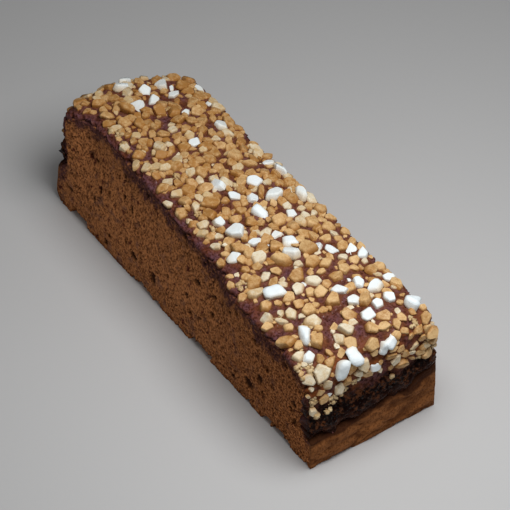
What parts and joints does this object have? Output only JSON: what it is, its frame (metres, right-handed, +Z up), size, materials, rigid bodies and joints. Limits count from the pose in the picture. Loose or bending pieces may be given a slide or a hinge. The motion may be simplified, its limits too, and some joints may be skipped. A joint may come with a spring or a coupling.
{
  "type": "spiced breakfast cake",
  "caption": "Bar of soft brown spiced loaf cake, cut along both sides and baked at both ends, with a dark sugar glaze set with coarse sugar nibs.",
  "frame": {"origin": "middle of the flat underside, at the bottom centre of the bounding box", "axes": "+X along the bar towards its thick syrup end, -Y towards the cut side that leans in at the top, +Z up"},
  "size_m": [0.189, 0.06, 0.0573],
  "materials": {
    "crumb": "soft porous brown cake crumb, matte, with a smoother baked crust at both ends and underneath",
    "glaze_and_nibs": "dark purple-brown sugar glaze, semi-gloss, with fused white, cream and caramel sugar nibs"
  },
  "bodies": {
    "root": {"cake": "crumb", "glaze": "glaze_and_nibs"}
  },
  "joints": []
}
